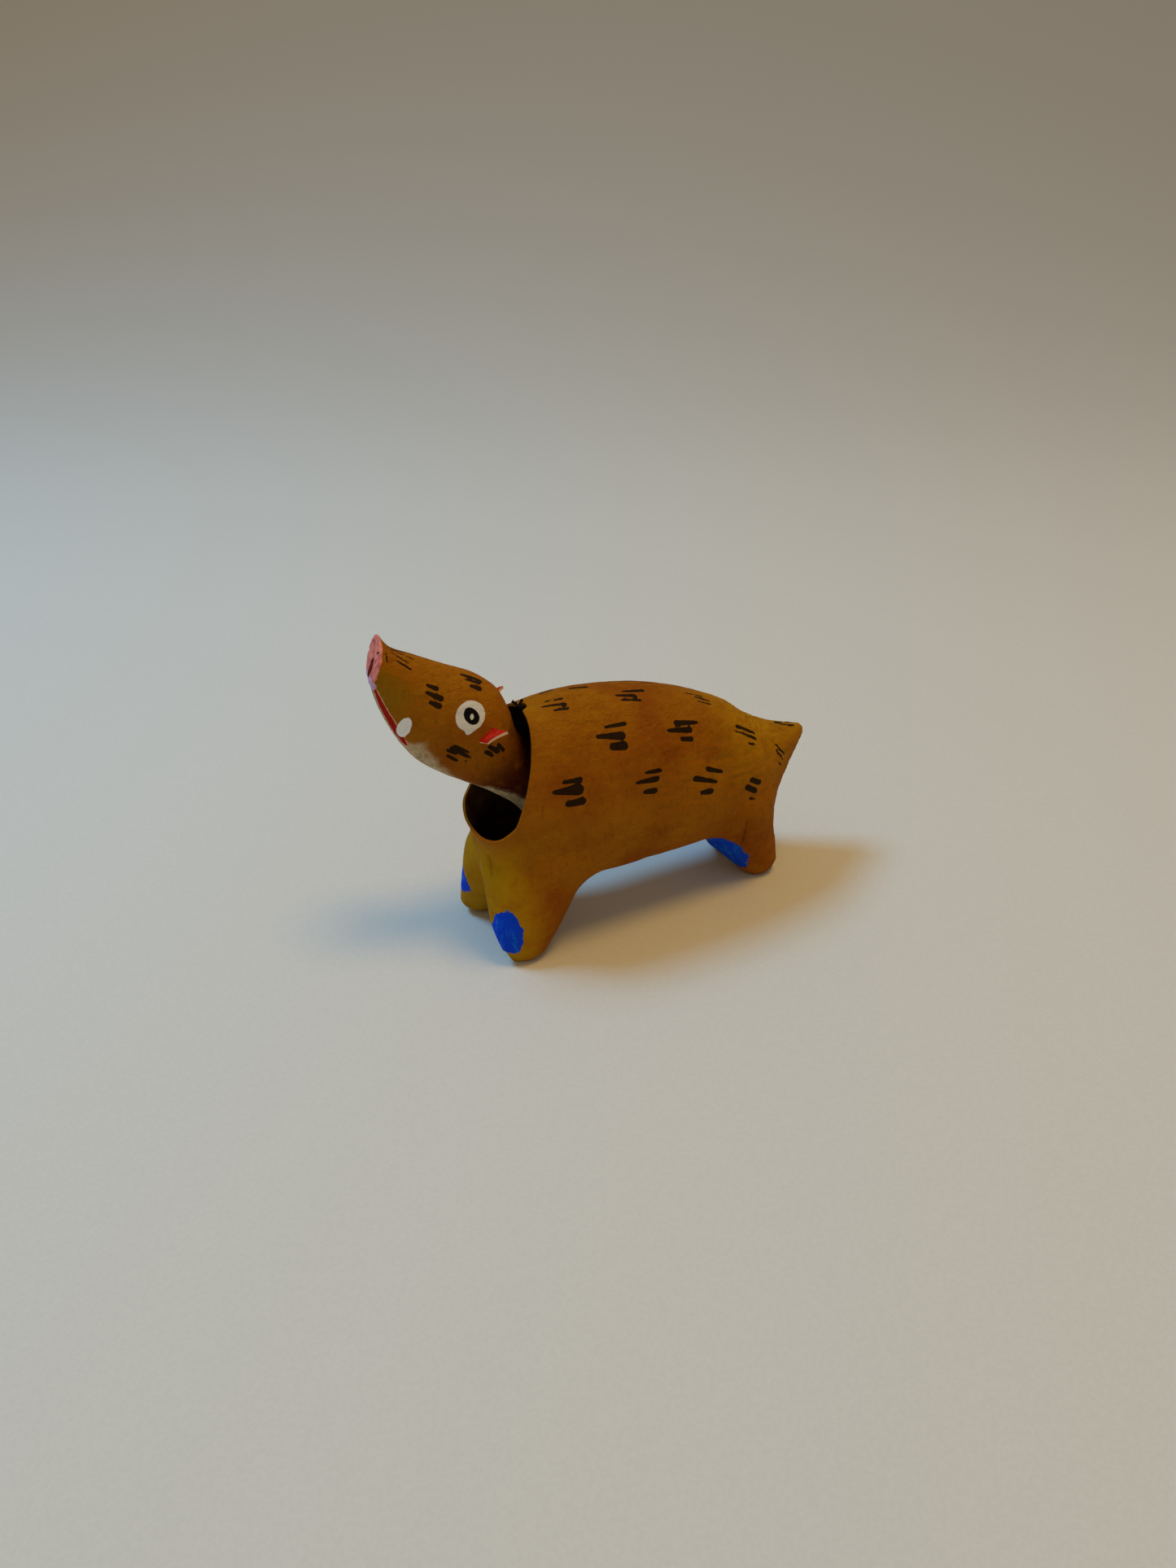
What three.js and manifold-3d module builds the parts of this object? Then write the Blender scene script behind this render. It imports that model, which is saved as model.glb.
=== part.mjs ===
// A small papier-mache boar: a hollow standing body that is open at the neck, a head that hangs in
// the opening on a short black thread, and two card ears. Millimetres, +Z up, the head towards -X
// and the tail towards +X. The four flat soles stand on z = 0.
import * as THREE from 'three';
import { mergeVertices } from 'three/addons/utils/BufferGeometryUtils.js';
import Module from 'manifold-3d';

const wasm = await Module();
wasm.setup();

const DEG = Math.PI / 180;

// ---------------------------------------------------------------- driving sizes

const WALL = 1.1;                // layered paper of the hollow body
const SOLE = 1.4;                // thickness of paper under the hollow feet

const BODY_CELL = 2.6;           // facet size of the body's outside
const TAIL_CELL = 1.4;           // facet size along the thin tail
const CAVITY_CELL = 3.2;         // facet size of the body's inside
const HEAD_CELL = 2.2;           // facet size of the head

// The trunk, as upright sections along x: [x, height of the back, height of the belly, half width].
const BODY_SECTIONS = [
  [-39.3, 50.6, 37.5, 10.8],
  [-36, 52, 32, 11.7],
  [-32.3, 52.9, 26.4, 12.3],
  [-27.3, 54.3, 21.8, 12.8],
  [-22.3, 55.0, 17.2, 13.2],
  [-15.3, 55.9, 13.8, 13.7],
  [-7.3, 55.9, 12.7, 14.0],
  [4.7, 54.0, 12.6, 14.0],
  [16.7, 50.3, 12.6, 13.6],
  [26.7, 45.4, 13.1, 12.6],
  [34.7, 39.8, 15.3, 10.8],
  [40.7, 36.4, 20.1, 8.2],
  [45.7, 34.7, 26.2, 4.7],
  [50.7, 33.3, 31.0, 1.3],
];

// Legs are tapering limbs: a fat end inside the trunk and a small end at the foot, on the -Y side.
// The +Y leg mirrors it. stretch widens the limb's section along x, y and z.
const FORELEG = { top: [-21.0, -4.6, 20.3], foot: [-27.9, -10.2, 3.8], topRadius: 8.8, footRadius: 4.3,
  stretch: [1.45, 0.95, 1] };
const BREAST = { top: [-28.6, 0, 25], foot: [-28.0, 0, 22.8], topRadius: 4.4, footRadius: 4.4,
  stretch: [1, 1.3, 1] };
const THIGH = { top: [28.3, -3, 12.6], foot: [35.6, -4.6, 3.6], topRadius: 5, footRadius: 3.3,
  stretch: [1, 1, 1] };
const HINDLEG = { top: [29.7, -4.6, 20], foot: [36.6, -6.4, 3.6], topRadius: 8.6, footRadius: 4.1,
  stretch: [1.12, 0.95, 1] };
const FAR_FOREFOOT_SHIFT = { x: 1.1, y: 1.0, from: 20 };   // the hand-made +Y forefoot stands wider

// The neck opening is a slanting cut through the front of the trunk that turns forward over the
// breast, so the breast keeps a low lip.
const RIM = { x: -22.4, z: 54.4, lean: 19.35 * DEG };
const LIP = { x: -30, z: 34, lean: 50 * DEG };
const NOTCH = { width: 2.3, depth: 1.35, height: 4 };      // nick in the rim that holds the thread

// The head hangs below the pivot, turned to the boar's right, with the snout raised.
const PIVOT = new THREE.Vector3(-22.1, 0, 52.8);
const HEAD_TURN = 16 * DEG;
const HEAD_PITCH = 38 * DEG;
const HEAD_SET = new THREE.Vector3(-1.3, 0, -7.8);         // from the pivot to the head's own origin

// The head, in its own axes: [x, crown, jaw, half width], from the snout to the hidden neck end.
const HEAD_SECTIONS = [
  [-39.5, 7.9, 0.8, 5.0],
  [-34.1, 5.3, -2.3, 4.9],
  [-29.9, 6.2, -5.6, 4.8],
  [-23.4, 7.9, -9.4, 5.8],
  [-16.6, 9.5, -11.7, 7.1],
  [-11.4, 9.3, -11.6, 7.6],
  [-6.6, 6.9, -10.8, 7.1],
  [-3, 4.2, -10.2, 6.8],
  [1, 2.8, -9.8, 6.7],
  [7.5, 2.8, -10.0, 6.7],
  [14, 7.0, -12.8, 6.8],
  [22, 11.8, -14.9, 6.7],
  [28, 11.5, -13.2, 5.8],
  [32.4, 9.4, -9.4, 4.5],
  [35.6, 5.6, -1.5, 1.7],
];
const SNOUT_CUT = { x: -35.3, z: 1.55, lean: -22.1 * DEG };

// Ears: a card quadrilateral on a straight root line. Each is set in the head's axes as if on the
// -Y side, and the right one is then mirrored. The right ear was stuck on a little higher.
const EAR_CARD = 0.7;
const EAR_OUTLINE = [[0, 0], [3.8, 0], [5.25, 3.87], [0.93, 2.16]];
const EAR_OFF_HEAD = 0.5;
const LEFT_EAR = { root: [-10.54, -7.56, 0.38], along: [0.24, 0.24, 0.93], out: [0.39, -0.89, 0.235],
  mirrored: false };
const RIGHT_EAR = { root: [-9.84, -7.24, 2.18], along: [0.24, 0.5, 0.9], out: [0.39, -0.8, 0.5],
  mirrored: true };

const THREAD = { radius: 0.35, tailRadius: 0.28, knot: 0.7, knotAbove: 1.9, drop: 2.4, sides: 5 };
const THREAD_TAILS = [
  [[0, 0, 0], [-0.5, 0.9, 0.7], [-1.0, 2.3, 1.1]],
  [[0, 0, 0], [0.4, 0.6, 1.0], [1.5, 1.5, 1.2]],
];

// ---------------------------------------------------------------- forms as distance functions

const { clamp } = THREE.MathUtils;

function smoothUnion(a, b, radius) {
  const share = clamp(0.5 + 0.5 * (b - a) / radius, 0, 1);
  return b + (a - b) * share - radius * share * (1 - share);
}

// Smooth curve through one column of a table of sections.
function curveThrough(sections, column) {
  const at = sections.map((section) => section[0]);
  const value = sections.map((section) => section[column]);
  const last = at.length - 1;
  const rise = at.slice(1).map((x, i) => (value[i + 1] - value[i]) / (x - at[i]));
  const slope = at.map((x, i) => {
    if (i === 0) return rise[0];
    if (i === last) return rise[last - 1];
    const before = x - at[i - 1];
    const after = at[i + 1] - x;
    return (rise[i - 1] * after + rise[i] * before) / (before + after);
  });
  return (x) => {
    const here = clamp(x, at[0], at[last]);
    let i = 0;
    while (i < last - 1 && here >= at[i + 1]) i += 1;
    const span = at[i + 1] - at[i];
    const t = (here - at[i]) / span;
    const s = 1 - t;
    return (1 + 2 * t) * s * s * value[i] + t * s * s * span * slope[i]
      + t * t * (3 - 2 * t) * value[i + 1] - t * t * s * span * slope[i + 1];
  };
}

// A form lofted through sections: a half ellipse above the widest height, a squarer half below it.
function loftedForm(sections, { topPower, bottomPower, widestAt }) {
  const crest = curveThrough(sections, 1);
  const belly = curveThrough(sections, 2);
  const half = curveThrough(sections, 3);
  const start = sections[0][0];
  const end = sections[sections.length - 1][0];
  return (x, y, z) => {
    const top = crest(x);
    const bottom = belly(x);
    const width = half(x);
    const middle = bottom + (top - bottom) * widestAt;
    const above = z > middle;
    const height = above ? top - middle : middle - bottom;
    const power = above ? topPower : bottomPower;
    const across = Math.max(Math.abs(y) / width, 1e-6);
    const up = Math.max(Math.abs(z - middle) / height, 1e-6);
    const size = (across ** power + up ** power) ** (1 / power);
    const slopeY = size ** (1 - power) * across ** (power - 1) / width;
    const slopeZ = size ** (1 - power) * up ** (power - 1) / height;
    return Math.max((size - 1) / Math.hypot(slopeY, slopeZ), start - x, x - end);
  };
}

// A limb: the hull of two balls of different size, stretched along the axes.
function limbForm({ top, foot, topRadius, footRadius, stretch }) {
  const scale = new THREE.Vector3(...stretch);
  const a = new THREE.Vector3(...top).divide(scale);
  const axis = new THREE.Vector3(...foot).divide(scale).sub(a);
  const length2 = axis.lengthSq();
  const taper = topRadius - footRadius;
  const side2 = length2 - taper * taper;
  const least = Math.min(...stretch);
  const from = new THREE.Vector3();
  return (x, y, z) => {
    from.set(x, y, z).divide(scale).sub(a);
    const along = from.dot(axis);
    const beyond = along - length2;
    const off2 = from.multiplyScalar(length2).addScaledVector(axis, -along).lengthSq();
    const ahead2 = along * along * length2;
    const past2 = beyond * beyond * length2;
    const slant = Math.sign(taper) * taper * taper * off2;
    let distance = (Math.sqrt(off2 * side2 / length2) + along * taper) / length2 - topRadius;
    if (Math.sign(beyond) * side2 * past2 > slant) {
      distance = Math.sqrt(off2 + past2) / length2 - footRadius;
    } else if (Math.sign(along) * side2 * ahead2 < slant) {
      distance = Math.sqrt(off2 + ahead2) / length2 - topRadius;
    }
    return distance * least;
  };
}

const trunkForm = loftedForm(BODY_SECTIONS, { topPower: 2, bottomPower: 2.6, widestAt: 0.5 });
const forelegForm = limbForm(FORELEG);
const breastForm = limbForm(BREAST);
const thighForm = limbForm(THIGH);
const hindlegForm = limbForm(HINDLEG);
const headForm = loftedForm(HEAD_SECTIONS, { topPower: 2, bottomPower: 2.2, widestAt: 0.56 });

function bodyForm(x, y, z) {
  const side = -Math.abs(y);
  const shift = y > 0 ? clamp(1 - z / FAR_FOREFOOT_SHIFT.from, 0, 1) : 0;
  const foreleg = forelegForm(x - FAR_FOREFOOT_SHIFT.x * shift, side + FAR_FOREFOOT_SHIFT.y * shift, z);
  const front = smoothUnion(foreleg, breastForm(x, y, z), 3);
  const chested = smoothUnion(trunkForm(x, y, z), front, 4);
  const thighed = smoothUnion(chested, thighForm(x, side, z), 2);
  return smoothUnion(thighed, hindlegForm(x, side, z), 3);
}

function cavityForm(x, y, z) {
  return bodyForm(x, y, z) + WALL;
}

// ---------------------------------------------------------------- from forms to closed meshes

function gridLines(from, to, cell) {
  const count = Math.ceil((to - from) / cell);
  return Array.from({ length: count + 1 }, (_, i) => from + i * cell);
}

const CELL_MARGIN = 0.1;         // a vertex stays this far inside its grid cell
const CUBE_CORNERS = [0, 1, 2, 3, 4, 5, 6, 7].map((bits) => [bits & 1, (bits >> 1) & 1, (bits >> 2) & 1]);
const CUBE_EDGES = CUBE_CORNERS.flatMap((corner) => [0, 1, 2]
  .filter((axis) => corner[axis] === 0)
  .map((axis) => [corner, corner.map((bit, i) => (i === axis ? 1 : bit))]));

// Moves a point onto the surface, down the slope of the form, and keeps it in its own grid cell.
function settle(form, point, cell) {
  const step = 0.05;
  const slope = new THREE.Vector3();
  for (let round = 0; round < 3; round += 1) {
    const { x, y, z } = point;
    slope.set(
      form(x + step, y, z) - form(x - step, y, z),
      form(x, y + step, z) - form(x, y - step, z),
      form(x, y, z + step) - form(x, y, z - step),
    ).divideScalar(2 * step);
    point.addScaledVector(slope, -form(x, y, z) / Math.max(slope.lengthSq(), 0.2));
    cell.clampPoint(point, point);
  }
  return point;
}

// Closed skin of the space where the form is negative: one vertex in each grid cell that the
// surface crosses, and one pair of triangles over each grid edge that it crosses.
function skin(form, lines) {
  const counts = lines.map((line) => line.length);
  const flat = ([i, j, k]) => (i * counts[1] + j) * counts[2] + k;
  const placeOf = (at) => new THREE.Vector3(...at.map((index, axis) => lines[axis][index]));
  const value = new Float64Array(counts[0] * counts[1] * counts[2]);
  lines[0].forEach((x, i) => lines[1].forEach((y, j) => lines[2].forEach((z, k) => {
    value[flat([i, j, k])] = form(x, y, z);
  })));

  const points = [];
  const pointOfCell = new Map();
  const offset = (at, by) => at.map((index, axis) => index + by[axis]);
  for (let i = 0; i < counts[0] - 1; i += 1) {
    for (let j = 0; j < counts[1] - 1; j += 1) {
      for (let k = 0; k < counts[2] - 1; k += 1) {
        const sum = new THREE.Vector3();
        let crossings = 0;
        CUBE_EDGES.forEach(([start, end]) => {
          const a = value[flat(offset([i, j, k], start))];
          const b = value[flat(offset([i, j, k], end))];
          if ((a < 0) === (b < 0)) return;
          sum.add(placeOf(offset([i, j, k], start)).lerp(placeOf(offset([i, j, k], end)), a / (a - b)));
          crossings += 1;
        });
        if (crossings > 0) {
          const cell = new THREE.Box3(placeOf([i, j, k]), placeOf([i + 1, j + 1, k + 1]));
          cell.expandByScalar(-CELL_MARGIN);
          pointOfCell.set(flat([i, j, k]), points.length);
          points.push(settle(form, sum.divideScalar(crossings), cell));
        }
      }
    }
  }

  const index = [];
  const addQuad = (a, b, c, d) => {
    if (points[a].distanceTo(points[c]) < points[b].distanceTo(points[d])) {
      index.push(a, b, c, a, c, d);
    } else {
      index.push(a, b, d, b, c, d);
    }
  };
  for (let axis = 0; axis < 3; axis += 1) {
    const right = (axis + 1) % 3;
    const ahead = (axis + 2) % 3;
    const start = [1, 1, 1];
    start[axis] = 0;
    for (let i = start[0]; i < counts[0] - 1; i += 1) {
      for (let j = start[1]; j < counts[1] - 1; j += 1) {
        for (let k = start[2]; k < counts[2] - 1; k += 1) {
          const at = [i, j, k];
          const next = at.map((n, a) => (a === axis ? n + 1 : n));
          const inside = value[flat(at)] < 0;
          if (inside === (value[flat(next)] < 0)) continue;
          const ring = [[1, 1], [0, 1], [0, 0], [1, 0]].map(([back, down]) => {
            const around = [...at];
            around[right] -= back;
            around[ahead] -= down;
            return pointOfCell.get(flat(around));
          });
          addQuad(...(inside ? ring : ring.reverse()));
        }
      }
    }
  }
  const geometry = new THREE.BufferGeometry();
  geometry.setAttribute('position', new THREE.Float32BufferAttribute(points.flatMap((p) => p.toArray()), 3));
  geometry.setIndex(index);
  return geometry;
}

function toSolid(geometry) {
  const bare = geometry.clone();
  bare.deleteAttribute('normal');
  bare.deleteAttribute('uv');
  const merged = mergeVertices(bare, 1e-4);
  return new wasm.Manifold(new wasm.Mesh({
    numProp: 3,
    vertProperties: merged.attributes.position.array,
    triVerts: new Uint32Array(merged.index.array),
  }));
}

function toGeometry(solid) {
  const mesh = solid.getMesh();
  const geometry = new THREE.BufferGeometry();
  geometry.setAttribute('position', new THREE.BufferAttribute(mesh.vertProperties, 3));
  geometry.setIndex(new THREE.BufferAttribute(mesh.triVerts, 1));
  geometry.computeVertexNormals();
  return geometry;
}

// ---------------------------------------------------------------- cutting blocks

const BLOCK = 120;

function blockBelow(height) {
  return toSolid(new THREE.BoxGeometry(BLOCK, BLOCK, BLOCK).translate(0, 0, height - BLOCK / 2));
}

// Everything in front of a leaning plane through the point (x, z).
function blockInFront(x, z, lean) {
  return toSolid(new THREE.BoxGeometry(BLOCK, BLOCK, BLOCK).translate(-BLOCK / 2, 0, 0)
    .rotateY(lean).translate(x, 0, z));
}

// ---------------------------------------------------------------- pieces

function bodyGeometry() {
  const outside = toSolid(skin(bodyForm, [
    [...gridLines(-41.6, 43, BODY_CELL), ...gridLines(44.6, 52, TAIL_CELL)],
    gridLines(-7 * BODY_CELL, 17, BODY_CELL),
    gridLines(-3.4, 58, BODY_CELL),
  ]));
  const inside = toSolid(skin(cavityForm, [
    gridLines(-41, 50, CAVITY_CELL),
    gridLines(-5.5 * CAVITY_CELL, 17, CAVITY_CELL),
    gridLines(-3, 57, CAVITY_CELL),
  ]));
  const notch = toSolid(new THREE.BoxGeometry(NOTCH.depth * 2, NOTCH.width, NOTCH.height)
    .rotateY(RIM.lean).translate(RIM.x, 0, RIM.z));
  const shell = outside.subtract(blockBelow(0)).subtract(inside.subtract(blockBelow(SOLE)));
  const opening = blockInFront(RIM.x, RIM.z, RIM.lean).intersect(blockInFront(LIP.x, LIP.z, LIP.lean));
  return toGeometry(shell.subtract(opening).subtract(notch));
}

function headGeometry() {
  const whole = toSolid(skin(headForm, [
    gridLines(-41, 37, HEAD_CELL),
    gridLines(-4.5 * HEAD_CELL, 9.5, HEAD_CELL),
    gridLines(-17.4, 14, HEAD_CELL),
  ]));
  return toGeometry(whole.subtract(blockInFront(SNOUT_CUT.x, SNOUT_CUT.z, SNOUT_CUT.lean)));
}

function earGeometry(ear) {
  const along = new THREE.Vector3(...ear.along).normalize();
  const out = new THREE.Vector3(...ear.out);
  out.addScaledVector(along, -out.dot(along)).normalize();
  const through = new THREE.Vector3().crossVectors(along, out);
  const outline = new THREE.Shape(EAR_OUTLINE.map(([a, b]) => new THREE.Vector2(a, b)));
  const card = new THREE.ExtrudeGeometry(outline, { depth: EAR_CARD, bevelEnabled: false });
  const place = new THREE.Matrix4().makeBasis(along, out, through)
    .setPosition(new THREE.Vector3(...ear.root).addScaledVector(out, EAR_OFF_HEAD));
  card.translate(0, 0, -EAR_CARD / 2).applyMatrix4(place);
  if (!ear.mirrored) return card;
  card.scale(1, -1, 1);
  const mirrored = mergeVertices(card, 1e-4);
  const corners = Array.from(mirrored.index.array);
  mirrored.setIndex(corners.map((_, i) => corners[i + 2 - 2 * (i % 3)]));
  return mirrored;
}

function strand(points, radius) {
  const path = new THREE.CatmullRomCurve3(points.map((point) => new THREE.Vector3(...point)));
  const section = new THREE.Shape(Array.from({ length: THREAD.sides }, (_, i) => {
    const angle = 2 * Math.PI * i / THREAD.sides;
    return new THREE.Vector2(Math.cos(angle) * radius, Math.sin(angle) * radius);
  }));
  return toSolid(new THREE.ExtrudeGeometry(section, { extrudePath: path, steps: 3, bevelEnabled: false }));
}

// The knot sits over the notch, its two cut ends stand up, and the stem drops to the nape.
function threadGeometry() {
  const knot = toSolid(new THREE.IcosahedronGeometry(THREAD.knot, 1).translate(0, 0, THREAD.knotAbove));
  const stem = strand([[0, 0, THREAD.knotAbove], [0, 0, -THREAD.drop]], THREAD.radius);
  const tails = THREAD_TAILS.map((tail) => strand(
    tail.map(([x, y, z]) => [x, y, z + THREAD.knotAbove]),
    THREAD.tailRadius,
  ));
  return toGeometry(tails.reduce((whole, tail) => whole.add(tail), knot.add(stem)));
}

// ---------------------------------------------------------------- assembly

function paper(color, roughness) {
  return new THREE.MeshStandardMaterial({ color, roughness, metalness: 0 });
}

function piece(name, geometry, material) {
  const mesh = new THREE.Mesh(geometry, material);
  mesh.name = name;
  return mesh;
}

const ochre = paper(0x80500c, 0.72);
const red = paper(0xb3200c, 0.75);
const black = paper(0x0d0b0a, 0.9);

const head = new THREE.Group();
head.position.copy(HEAD_SET);
head.rotation.y = HEAD_PITCH;
head.add(piece('head', headGeometry(), ochre));
head.add(piece('left_ear', earGeometry(LEFT_EAR), red));
head.add(piece('right_ear', earGeometry(RIGHT_EAR), red));

const turned = new THREE.Group();
turned.rotation.z = -HEAD_TURN;
turned.add(head);

const hanging = new THREE.Group();
hanging.position.copy(PIVOT);
hanging.add(turned);
hanging.add(piece('hanging_thread', threadGeometry(), black));

const boar = new THREE.Group();
boar.add(piece('body', bodyGeometry(), ochre));
boar.add(hanging);

export default boar;
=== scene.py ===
"""A small papier-mache boar whose head hangs in its neck opening on a black thread.

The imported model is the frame: it gives the places, the joints and the plain solids. This script
makes the moulded paper surfaces over it, their creases and their hand-brushed paint, the card
ears and the twisted thread. Lengths are millimetres until a mesh is made, and metres in Blender.
"""
import math

import bmesh
import bpy
import numpy as np
from mathutils import Matrix, Vector, noise


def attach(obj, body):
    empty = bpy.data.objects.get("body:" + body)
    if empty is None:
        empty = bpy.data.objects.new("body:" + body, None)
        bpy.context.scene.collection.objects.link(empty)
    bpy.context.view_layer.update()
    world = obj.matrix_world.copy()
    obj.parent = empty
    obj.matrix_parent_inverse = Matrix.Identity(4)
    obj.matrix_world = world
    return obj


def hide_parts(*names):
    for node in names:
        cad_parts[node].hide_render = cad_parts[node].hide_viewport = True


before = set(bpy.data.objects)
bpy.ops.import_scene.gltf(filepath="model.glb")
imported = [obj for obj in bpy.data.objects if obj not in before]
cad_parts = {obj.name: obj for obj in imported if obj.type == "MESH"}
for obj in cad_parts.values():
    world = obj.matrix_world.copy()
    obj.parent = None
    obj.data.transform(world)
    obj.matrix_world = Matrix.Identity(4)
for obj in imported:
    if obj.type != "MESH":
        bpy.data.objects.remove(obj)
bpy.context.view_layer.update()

MM = 0.001
WALL = 1.1                  # layered paper of the hollow body
BODY_CELL = 0.56            # mesh spacing of the body
HEAD_CELL = 0.42            # mesh spacing of the head

# ------------------------------------------------------------------ the moulded forms

# Upright sections of the trunk along x: x, height of the back, height of the belly, half width.
BODY_SECTIONS = np.array([
    [-39.3, 50.6, 37.5, 10.8],
    [-36, 52, 32, 11.7],
    [-32.3, 52.9, 26.4, 12.3],
    [-27.3, 54.3, 21.8, 12.8],
    [-22.3, 55.0, 17.2, 13.2],
    [-15.3, 55.9, 13.8, 13.7],
    [-7.3, 55.9, 12.7, 14.0],
    [4.7, 54.0, 12.6, 14.0],
    [16.7, 50.3, 12.6, 13.6],
    [26.7, 45.4, 13.1, 12.6],
    [34.7, 39.8, 15.3, 10.8],
    [40.7, 36.4, 20.1, 8.2],
    [45.7, 34.7, 26.2, 4.7],
    [50.7, 33.3, 31.0, 1.3],
])

# Limbs: a fat ball inside the trunk and a small one at the foot, on the -y side.
FORELEG = dict(top=(-21.0, -4.6, 20.3), foot=(-27.9, -10.2, 3.8), radii=(8.8, 4.3), stretch=(1.45, 0.95, 1))
BREAST = dict(top=(-28.6, 0, 25), foot=(-28.0, 0, 22.8), radii=(4.4, 4.4), stretch=(1, 1.3, 1))
THIGH = dict(top=(28.3, -3, 12.6), foot=(35.6, -4.6, 3.6), radii=(5, 3.3), stretch=(1, 1, 1))
HINDLEG = dict(top=(29.7, -4.6, 20), foot=(36.6, -6.4, 3.6), radii=(8.6, 4.1), stretch=(1.12, 0.95, 1))
FAR_FOREFOOT_SHIFT = (1.1, 1.0)

# The neck opening is a slanting cut that turns forward over the breast: a point and a lean each.
RIM_CUTS = [(Vector((-22.4, 0, 54.4)), math.radians(19.35)), (Vector((-30, 0, 34)), math.radians(50))]
NOTCH_WIDTH, NOTCH_DEPTH = 2.3, 1.35
NOTCH_CORNER = 0.5          # how far its corners are rounded
NOTCH_ABOVE = 50            # it is cut into the rim above this height
ROUNDED_BELOW = 49          # the rim is rounded off below this height
ROUNDINGS = 7
RIM_TAPER = 4               # how far behind the rim the wall reaches its full thickness
RIM_SHARE = 0.5             # the share of the wall's thickness that is left at the cut edge

# The head in its own axes: x from the snout to the hidden neck end, crown, jaw, half width.
HEAD_SECTIONS = np.array([
    [-39.5, 7.9, 0.8, 3.8],
    [-34.1, 5.3, -2.3, 4.5],
    [-29.9, 6.2, -5.6, 4.8],
    [-23.4, 7.9, -9.4, 5.8],
    [-16.6, 9.5, -11.7, 7.1],
    [-11.4, 9.3, -11.6, 7.6],
    [-6.6, 6.9, -10.8, 7.1],
    [-3, 4.2, -10.2, 6.8],
    [1, 2.8, -9.8, 6.7],
    [7.5, 2.8, -10.0, 6.7],
    [14, 7.0, -12.8, 6.8],
    [22, 11.8, -14.9, 6.7],
    [28, 11.5, -13.2, 5.8],
    [32.4, 9.4, -9.4, 4.5],
    [35.6, 5.6, -1.5, 1.7],
])
SNOUT_CUT = Vector((-35.3, 0, 1.55))
SNOUT_LEAN = math.radians(-17)

PIVOT = Vector((-22.1, 0, 52.8))
HEAD_POSE = (Matrix.Translation(PIVOT) @ Matrix.Rotation(math.radians(-16), 4, "Z")
             @ Matrix.Translation((-1.3, 0, -7.8)) @ Matrix.Rotation(math.radians(38), 4, "Y"))


def smooth_union(a, b, radius):
    share = np.clip(0.5 + 0.5 * (b - a) / radius, 0, 1)
    return b + (a - b) * share - radius * share * (1 - share)


def ease(value, start, end):
    """0 at start, 1 at end, smooth between them."""
    t = np.clip((value - start) / (end - start), 0, 1)
    return t * t * (3 - 2 * t)


def curve_through(sections, column):
    """Smooth curve through one column of a table of sections."""
    at, value = sections[:, 0], sections[:, column]
    rise = np.diff(value) / np.diff(at)
    before, after = np.diff(at)[:-1], np.diff(at)[1:]
    inner = (rise[:-1] * after + rise[1:] * before) / (before + after)
    slope = np.concatenate([rise[:1], inner, rise[-1:]])

    def curve(x):
        here = np.clip(x, at[0], at[-1])
        i = np.clip(np.searchsorted(at, here, side="right") - 1, 0, len(at) - 2)
        span = at[i + 1] - at[i]
        t = (here - at[i]) / span
        s = 1 - t
        return ((1 + 2 * t) * s * s * value[i] + t * s * s * span * slope[i]
                + t * t * (3 - 2 * t) * value[i + 1] - t * t * s * span * slope[i + 1])

    return curve


class Loft:
    """A form lofted through sections: half an ellipse above the widest height, squarer below."""

    def __init__(self, sections, bottom_power, widest_at):
        self.crest, self.belly, self.half = (curve_through(sections, c) for c in (1, 2, 3))
        self.start, self.end = sections[0, 0], sections[-1, 0]
        self.bottom_power, self.widest_at = bottom_power, widest_at

    def section(self, x, upper):
        top, bottom = self.crest(x), self.belly(x)
        middle = bottom + (top - bottom) * self.widest_at
        above = upper(middle)
        return (middle, np.where(above, top - middle, middle - bottom), self.half(x),
                np.where(above, 2.0, self.bottom_power))

    def distance(self, x, y, z):
        middle, height, half, power = self.section(x, lambda m: z > m)
        across = np.maximum(np.abs(y) / half, 1e-6)
        up = np.maximum(np.abs(z - middle) / height, 1e-6)
        size = (across ** power + up ** power) ** (1 / power)
        slope_y = size ** (1 - power) * across ** (power - 1) / half
        slope_z = size ** (1 - power) * up ** (power - 1) / height
        return np.maximum((size - 1) / np.hypot(slope_y, slope_z), np.maximum(self.start - x, x - self.end))

    def point(self, x, degrees):
        """The surface point at x and at an angle down from the crest, on the -y side."""
        a = math.radians(degrees)
        middle, height, half, power = self.section(x, lambda m: abs(degrees) <= 90)
        reach = (abs(math.sin(a)) ** power + abs(math.cos(a)) ** power) ** (-1 / power)
        return np.array([x, -half * math.sin(a) * reach, middle + height * math.cos(a) * reach])

    def angle(self, x, y, z):
        """Degrees down from the crest, the same on both sides."""
        middle, height, half, _ = self.section(x, lambda m: z > m)
        return np.degrees(np.arctan2(np.abs(y) / half, (z - middle) / height))


def limb(x, y, z, top, foot, radii, stretch):
    """Hull of two balls of different size, stretched along the axes."""
    stretch = np.array(stretch)
    a = np.array(top) / stretch
    axis = np.array(foot) / stretch - a
    length2 = axis @ axis
    taper = radii[0] - radii[1]
    side2 = length2 - taper * taper
    start = [c / s - o for c, s, o in zip((x, y, z), stretch, a)]
    along = sum(c * d for c, d in zip(start, axis))
    beyond = along - length2
    off2 = sum((c * length2 - d * along) ** 2 for c, d in zip(start, axis))
    ahead2, past2 = along * along * length2, beyond * beyond * length2
    slant = np.sign(taper) * taper * taper * off2
    side = (np.sqrt(off2 * side2 / length2) + along * taper) / length2 - radii[0]
    low_end = np.sqrt(off2 + past2) / length2 - radii[1]
    high_end = np.sqrt(off2 + ahead2) / length2 - radii[0]
    distance = np.where(np.sign(beyond) * side2 * past2 > slant, low_end,
                        np.where(np.sign(along) * side2 * ahead2 < slant, high_end, side))
    return distance * stretch.min()


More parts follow.
